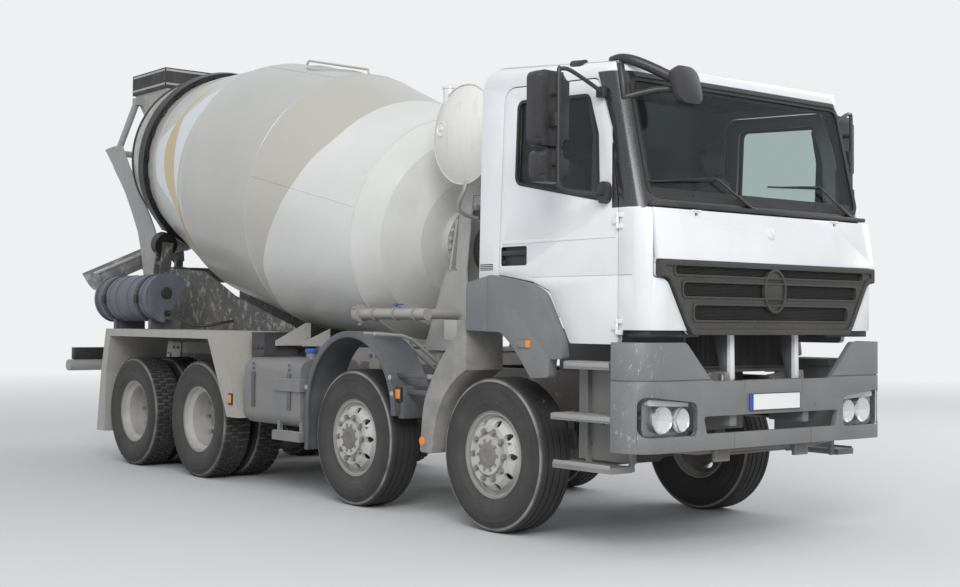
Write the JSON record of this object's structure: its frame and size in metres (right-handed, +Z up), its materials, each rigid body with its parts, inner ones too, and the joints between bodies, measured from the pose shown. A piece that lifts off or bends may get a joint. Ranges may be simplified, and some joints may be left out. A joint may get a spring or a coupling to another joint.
{
  "type": "concrete mixer truck",
  "caption": "Concrete mixer truck: cab-over tractor with steered front axles, twin-wheeled driven bogie, inclined turning drum, filling hopper and swinging discharge chute.",
  "frame": {"origin": "on the ground below the middle of the whole truck", "axes": "+X forward, +Y to the left side, +Z up"},
  "size_m": [9.212, 3.2, 4.17],
  "materials": {
    "frame_paint": "satin, dusty",
    "subframe_paint": "satin, dusty",
    "driveline_grey": "rough",
    "axle_black": "rough",
    "bumper_grey": "satin",
    "lamp_clear": "clear",
    "step_metal": "dusty",
    "fender_plastic": "dusty",
    "mudguard_steel": "dirty",
    "tank_grey": "dusty",
    "box_dark": "satin",
    "tank_white": "gloss",
    "pedestal_light": "satin",
    "gearbox_dark": "satin",
    "pedestal_dark": "dusty",
    "hopper_grey": "worn",
    "collar_rubber": "matt",
    "arm_grey": "worn",
    "side_tank_plastic": "satin",
    "galvanised": "dull",
    "cab_white": "gloss",
    "glass": "tinted",
    "cladding_grey": "satin",
    "trim_black": "satin",
    "interior_dark": "matt",
    "grille_dark": "satin",
    "drum_paint": "gloss",
    "ring_steel": "worn",
    "chute_steel": "worn",
    "rim_pale": "dusty",
    "rim_silver": "satin",
    "tyre": "matt"
  },
  "bodies": {
    "chassis": {"frame_rails": "frame_paint", "subframe": "subframe_paint", "driveline": "driveline_grey", "axle_beams": "axle_black", "bumper": "bumper_grey", "lamps": "lamp_clear", "steps": "step_metal", "plastic_fenders": "fender_plastic", "rear_fenders": "mudguard_steel", "fuel_tank": "tank_grey", "chassis_boxes": "box_dark", "water_supply": "tank_white", "front_pedestal": "pedestal_light", "drum_gearbox": "gearbox_dark", "rear_pedestal": "pedestal_dark", "hopper": "hopper_grey", "hopper_collar": "collar_rubber", "hopper_frame": "arm_grey", "side_tank": "side_tank_plastic", "rear_underrun": "galvanised"},
    "cab": {"cab_shell": "cab_white", "windscreen": "glass", "arch_cladding": "cladding_grey", "cab_trim": "trim_black", "cab_interior": "interior_dark"},
    "flap": {"front_flap": "cab_white", "grille": "grille_dark"},
    "right_door": {"door_right": "cab_white", "door_glass_right": "glass", "mirror_right": "trim_black"},
    "left_door": {"door_left": "cab_white", "door_glass_left": "glass", "mirror_left": "trim_black"},
    "drum": {"drum_shell": "drum_paint", "track_ring": "ring_steel"},
    "right_roller": {"roller_right": "ring_steel"},
    "left_roller": {"roller_left": "ring_steel"},
    "chute_swivel": {"chute_arm": "chute_steel"},
    "chute_trough": {"chute": "chute_steel"},
    "knuckle_1_right_body": {"knuckle_1_right": "axle_black"},
    "knuckle_1_left_body": {"knuckle_1_left": "axle_black"},
    "knuckle_2_right_body": {"knuckle_2_right": "axle_black"},
    "knuckle_2_left_body": {"knuckle_2_left": "axle_black"},
    "wheel_1_right": {"rim_1_right": "rim_silver", "tyre_1_right": "tyre"},
    "wheel_1_left": {"rim_1_left": "rim_silver", "tyre_1_left": "tyre"},
    "wheel_2_right": {"rim_2_right": "rim_silver", "tyre_2_right": "tyre"},
    "wheel_2_left": {"rim_2_left": "rim_silver", "tyre_2_left": "tyre"},
    "wheel_3_right": {"rims_3_right": "rim_pale", "tyres_3_right": "tyre"},
    "wheel_3_left": {"rims_3_left": "rim_pale", "tyres_3_left": "tyre"},
    "wheel_4_right": {"rims_4_right": "rim_pale", "tyres_4_right": "tyre"},
    "wheel_4_left": {"rims_4_left": "rim_pale", "tyres_4_left": "tyre"}
  },
  "joints": [
    {"name": "cab_tilt", "type": "hinge", "parent": "chassis", "child": "cab", "pos_m": [4.46, 0, 1.095], "axis": [0, 1, 0], "range_deg": [0, 60]},
    {"name": "flap_lift", "type": "hinge", "parent": "cab", "child": "flap", "pos_m": [4.516, 0, 2.15], "axis": [0, -1, 0], "range_deg": [0, 65]},
    {"name": "right_door_swing", "type": "hinge", "parent": "cab", "child": "right_door", "pos_m": [4.283, -1.162, 2], "axis": [0, 0, 1], "range_deg": [0, 70]},
    {"name": "left_door_swing", "type": "hinge", "parent": "cab", "child": "left_door", "pos_m": [4.283, 1.162, 2], "axis": [0, 0, -1], "range_deg": [0, 70]},
    {"name": "steer_1_right", "type": "hinge", "parent": "chassis", "child": "knuckle_1_right_body", "pos_m": [3.07, -0.85, 0.532], "axis": [0, 0, 1], "range_deg": [-38, 38]},
    {"name": "steer_1_left", "type": "hinge", "parent": "chassis", "child": "knuckle_1_left_body", "pos_m": [3.07, 0.85, 0.532], "axis": [0, 0, 1], "range_deg": [-38, 38]},
    {"name": "steer_2_right", "type": "hinge", "parent": "chassis", "child": "knuckle_2_right_body", "pos_m": [1.37, -0.85, 0.532], "axis": [0, 0, 1], "range_deg": [-25, 25]},
    {"name": "steer_2_left", "type": "hinge", "parent": "chassis", "child": "knuckle_2_left_body", "pos_m": [1.37, 0.85, 0.532], "axis": [0, 0, 1], "range_deg": [-25, 25]},
    {"name": "roll_1_right", "type": "hinge", "parent": "knuckle_1_right_body", "child": "wheel_1_right", "pos_m": [3.07, -1.03, 0.532], "axis": [0, 1, 0], "continuous": true},
    {"name": "roll_1_left", "type": "hinge", "parent": "knuckle_1_left_body", "child": "wheel_1_left", "pos_m": [3.07, 1.03, 0.532], "axis": [0, 1, 0], "continuous": true},
    {"name": "roll_2_right", "type": "hinge", "parent": "knuckle_2_right_body", "child": "wheel_2_right", "pos_m": [1.37, -1.03, 0.532], "axis": [0, 1, 0], "continuous": true},
    {"name": "roll_2_left", "type": "hinge", "parent": "knuckle_2_left_body", "child": "wheel_2_left", "pos_m": [1.37, 1.03, 0.532], "axis": [0, 1, 0], "continuous": true},
    {"name": "roll_3_right", "type": "hinge", "parent": "chassis", "child": "wheel_3_right", "pos_m": [-1.102, -0.905, 0.532], "axis": [0, 1, 0], "continuous": true},
    {"name": "roll_3_left", "type": "hinge", "parent": "chassis", "child": "wheel_3_left", "pos_m": [-1.102, 0.905, 0.532], "axis": [0, 1, 0], "continuous": true},
    {"name": "roll_4_right", "type": "hinge", "parent": "chassis", "child": "wheel_4_right", "pos_m": [-2.452, -0.905, 0.532], "axis": [0, 1, 0], "continuous": true},
    {"name": "roll_4_left", "type": "hinge", "parent": "chassis", "child": "wheel_4_left", "pos_m": [-2.452, 0.905, 0.532], "axis": [0, 1, 0], "continuous": true},
    {"name": "drum_turn", "type": "hinge", "parent": "chassis", "child": "drum", "pos_m": [1.40849, 0, 2.13012], "axis": [-0.9744, 0, 0.225], "continuous": true},
    {"name": "roller_turn_right", "type": "hinge", "parent": "chassis", "child": "right_roller", "pos_m": [-3.07574, -0.59121, 2.23106], "axis": [-0.9744, 0, 0.225], "continuous": true},
    {"name": "roller_turn_left", "type": "hinge", "parent": "chassis", "child": "left_roller", "pos_m": [-3.07574, 0.59121, 2.23106], "axis": [-0.9744, 0, 0.225], "continuous": true},
    {"name": "chute_swing", "type": "hinge", "parent": "chassis", "child": "chute_swivel", "pos_m": [-3.91, 0, 1.8], "axis": [0, 0, -1], "range_deg": [-2, 170]},
    {"name": "chute_tilt", "type": "hinge", "parent": "chute_swivel", "child": "chute_trough", "pos_m": [-3.91, 0, 2.11], "axis": [0.9945, -0.1045, 0], "range_deg": [-14, 14]}
  ],
  "couplings": [
    {"joint": "steer_1_left", "follows": "steer_1_right", "ratio": 1},
    {"joint": "steer_2_right", "follows": "steer_1_right", "ratio": 0.65},
    {"joint": "steer_2_left", "follows": "steer_1_right", "ratio": 0.65},
    {"joint": "roller_turn_right", "follows": "drum_turn", "ratio": -7.68},
    {"joint": "roller_turn_left", "follows": "drum_turn", "ratio": -7.68}
  ]
}
